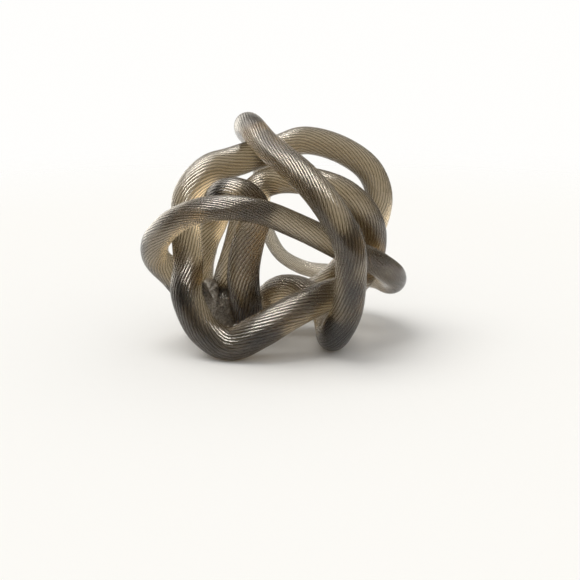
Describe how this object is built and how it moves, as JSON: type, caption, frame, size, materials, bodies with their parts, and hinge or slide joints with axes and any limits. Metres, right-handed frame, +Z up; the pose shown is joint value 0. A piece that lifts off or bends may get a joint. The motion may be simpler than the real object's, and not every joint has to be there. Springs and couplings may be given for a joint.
{
  "type": "knot ball ornament",
  "caption": "Open decorative ball wound from a ribbed, twisted rope of smoky glass that passes over and under itself, standing on flats ground under its lowest strands.",
  "frame": {"origin": "centre of the ball's box in X and Y, at the table under the ball's flats", "axes": "+Z up, +Y away from the side that the picture shows, +X to that side's right"},
  "size_m": [0.152, 0.1307, 0.1298],
  "materials": {
    "smoky_glass": "clear smoky brown-grey glass, fire polished, with fine twisted ribs along the rope and a rough fused join"
  },
  "bodies": {
    "root": {"hook_foot": "smoky_glass", "left_hook": "smoky_glass", "front_arch_left": "smoky_glass", "front_arch_right": "smoky_glass", "front_arch_end": "smoky_glass", "right_tip": "smoky_glass", "rear_sweep_right": "smoky_glass", "rear_sweep_left": "smoky_glass", "rear_rise_lower": "smoky_glass", "rear_rise_upper": "smoky_glass", "top_bend": "smoky_glass", "front_bar_top": "smoky_glass", "front_bar_middle": "smoky_glass", "front_bar_foot": "smoky_glass", "foot_bend": "smoky_glass", "base_hump": "smoky_glass", "base_bend": "smoky_glass", "inner_column": "smoky_glass", "inner_crown": "smoky_glass", "inner_leg": "smoky_glass", "rear_corner": "smoky_glass", "rear_base": "smoky_glass", "right_rise_lower": "smoky_glass", "right_rise_upper": "smoky_glass", "crown_arch_right": "smoky_glass", "crown_arch_top": "smoky_glass", "crown_arch_left": "smoky_glass", "left_shoulder": "smoky_glass", "left_side": "smoky_glass", "lower_sweep_left": "smoky_glass", "lower_sweep_right": "smoky_glass", "right_bend": "smoky_glass", "right_shoulder": "smoky_glass", "inner_arch": "smoky_glass", "tail": "smoky_glass"}
  },
  "joints": []
}
